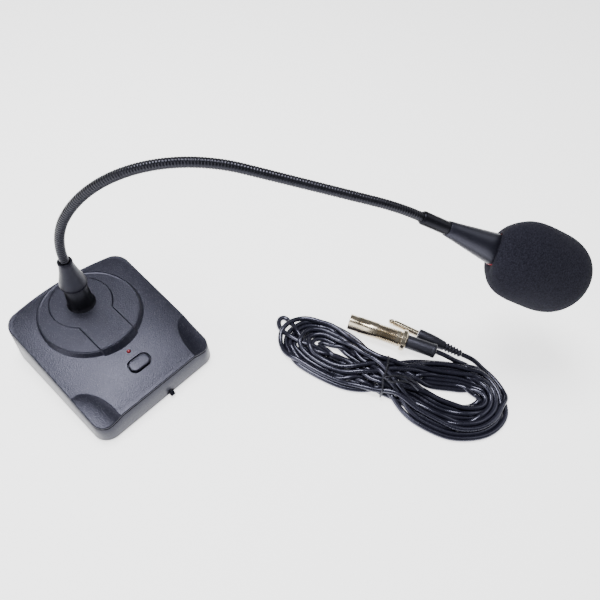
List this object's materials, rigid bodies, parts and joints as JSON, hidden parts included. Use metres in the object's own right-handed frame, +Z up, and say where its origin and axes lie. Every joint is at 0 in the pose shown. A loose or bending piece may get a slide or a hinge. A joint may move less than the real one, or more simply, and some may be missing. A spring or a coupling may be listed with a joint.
{
  "type": "gooseneck podium microphone",
  "caption": "Desk microphone: wedge base with talk button, spiral gooseneck, red light ring and foam-covered head, with its lead tied in a hank beside it.",
  "frame": {"origin": "on the desk, under the middle of the microphone's bounding box, lead left out", "axes": "+Z up; -Y is the front edge of the base; +X is to the right of someone facing that front edge"},
  "size_m": [0.3578, 0.3694, 0.2025],
  "materials": {
    "case_plastic": "satin",
    "black_plastic": "satin",
    "neck_metal": "satin",
    "gloss_black": "gloss",
    "nickel": "polished",
    "steel": "satin",
    "brass": "satin",
    "red_lens": "gloss",
    "green_board": "satin",
    "cell_wrap": "satin",
    "foam": "matte",
    "cord_rubber": "satin",
    "foot_rubber": "matte"
  },
  "bodies": {
    "base": {"base_housing": "case_plastic", "top_cover": "case_plastic", "neck_collar": "black_plastic", "latch_switch": "black_plastic", "xlr_socket_insert": "black_plastic", "xlr_plug_insert": "black_plastic", "xlr_plug_boot": "black_plastic", "jack_plug_handle": "black_plastic", "cable_tie": "black_plastic", "neck_link_0": "neck_metal", "xlr_plug_shell": "nickel", "xlr_plug_latch": "nickel", "jack_plug_pin": "nickel", "slide_switch_body": "steel", "ballast_plate": "steel", "battery_contact_front": "steel", "battery_contact_rear": "steel", "xlr_socket_shell": "steel", "neck_washer": "steel", "case_screw_1": "steel", "case_screw_2": "steel", "case_screw_3": "steel", "case_screw_4": "steel", "neck_stem": "brass", "neck_nut": "brass", "xlr_socket_pin_1": "brass", "xlr_socket_pin_2": "brass", "xlr_socket_pin_3": "brass", "power_led": "red_lens", "circuit_board": "green_board", "battery_1": "cell_wrap", "battery_2": "cell_wrap", "cord_hank": "cord_rubber", "cord_tail_xlr": "cord_rubber", "cord_tail_jack": "cord_rubber", "foot_1": "foot_rubber", "foot_2": "foot_rubber", "foot_3": "foot_rubber", "foot_4": "foot_rubber"},
    "talk_button": {"power_button": "case_plastic"},
    "mode_switch": {"slide_switch_knob": "black_plastic"},
    "battery_cover": {"battery_door": "case_plastic"},
    "neck_1": {"neck_link_1": "neck_metal"},
    "neck_2": {"neck_link_2": "neck_metal"},
    "neck_3": {"neck_link_3": "neck_metal"},
    "neck_4": {"neck_link_4": "neck_metal"},
    "neck_5": {"neck_link_5": "neck_metal"},
    "neck_6": {"neck_link_6": "neck_metal"},
    "neck_7": {"neck_link_7": "neck_metal"},
    "neck_8": {"neck_link_8": "neck_metal", "ferrule": "gloss_black", "head_shell": "black_plastic", "ring_light": "red_lens", "ring_led_board": "green_board", "capsule_holder": "black_plastic", "mic_capsule": "nickel", "grille_basket": "steel"},
    "windscreen": {"foam_windscreen": "foam"}
  },
  "joints": [
    {"name": "talk_button_press", "type": "slide", "parent": "base", "child": "talk_button", "axis": [0, 0.1446, -0.9895], "range_m": [0, 0.002], "stiffness_N_per_m": 400, "springref_m": -0.002},
    {"name": "mode_switch_slide", "type": "slide", "parent": "base", "child": "mode_switch", "axis": [1, 0, 0], "range_m": [-0.002, 0.002]},
    {"name": "battery_cover_slide", "type": "slide", "parent": "base", "child": "battery_cover", "axis": [1, 0, 0], "range_m": [0, 0.008]},
    {"name": "neck_pitch_1", "type": "hinge", "parent": "base", "child": "neck_1", "pos_m": [-0.11786, 0.14204, 0.11391], "axis": [-0.7361, -0.6769, 0], "range_deg": [-7, 30]},
    {"name": "neck_swing_1", "type": "hinge", "parent": "neck_1", "child": "neck_2", "pos_m": [-0.10751, 0.13077, 0.14889], "axis": [-0.5512, 0.5994, 0.5805], "range_deg": [-25, 25]},
    {"name": "neck_pitch_2", "type": "hinge", "parent": "neck_2", "child": "neck_3", "pos_m": [-0.08924, 0.11091, 0.17611], "axis": [0.7361, 0.6769, 0], "range_deg": [-30, 8]},
    {"name": "neck_swing_2", "type": "hinge", "parent": "neck_3", "child": "neck_4", "pos_m": [-0.06606, 0.0857, 0.19334], "axis": [-0.2028, 0.2205, 0.9541], "range_deg": [-25, 25]},
    {"name": "neck_pitch_3", "type": "hinge", "parent": "neck_4", "child": "neck_5", "pos_m": [-0.04038, 0.05777, 0.19878], "axis": [-0.7361, -0.6769, 0], "range_deg": [-11, 30]},
    {"name": "neck_swing_3", "type": "hinge", "parent": "neck_5", "child": "neck_6", "pos_m": [-0.01471, 0.02986, 0.19265], "axis": [0.1523, -0.1656, 0.9744], "range_deg": [-25, 25]},
    {"name": "neck_pitch_4", "type": "hinge", "parent": "neck_6", "child": "neck_7", "pos_m": [0.01068, 0.00225, 0.18399], "axis": [0.7361, 0.6769, 0], "range_deg": [-30, 20]},
    {"name": "neck_swing_4", "type": "hinge", "parent": "neck_7", "child": "neck_8", "pos_m": [0.03607, -0.02537, 0.17533], "axis": [0.1523, -0.1656, 0.9744], "range_deg": [-25, 25]},
    {"name": "windscreen_pull", "type": "slide", "parent": "neck_8", "child": "windscreen", "axis": [0.6207, -0.675, -0.3987], "range_m": [0, 0.05]}
  ]
}
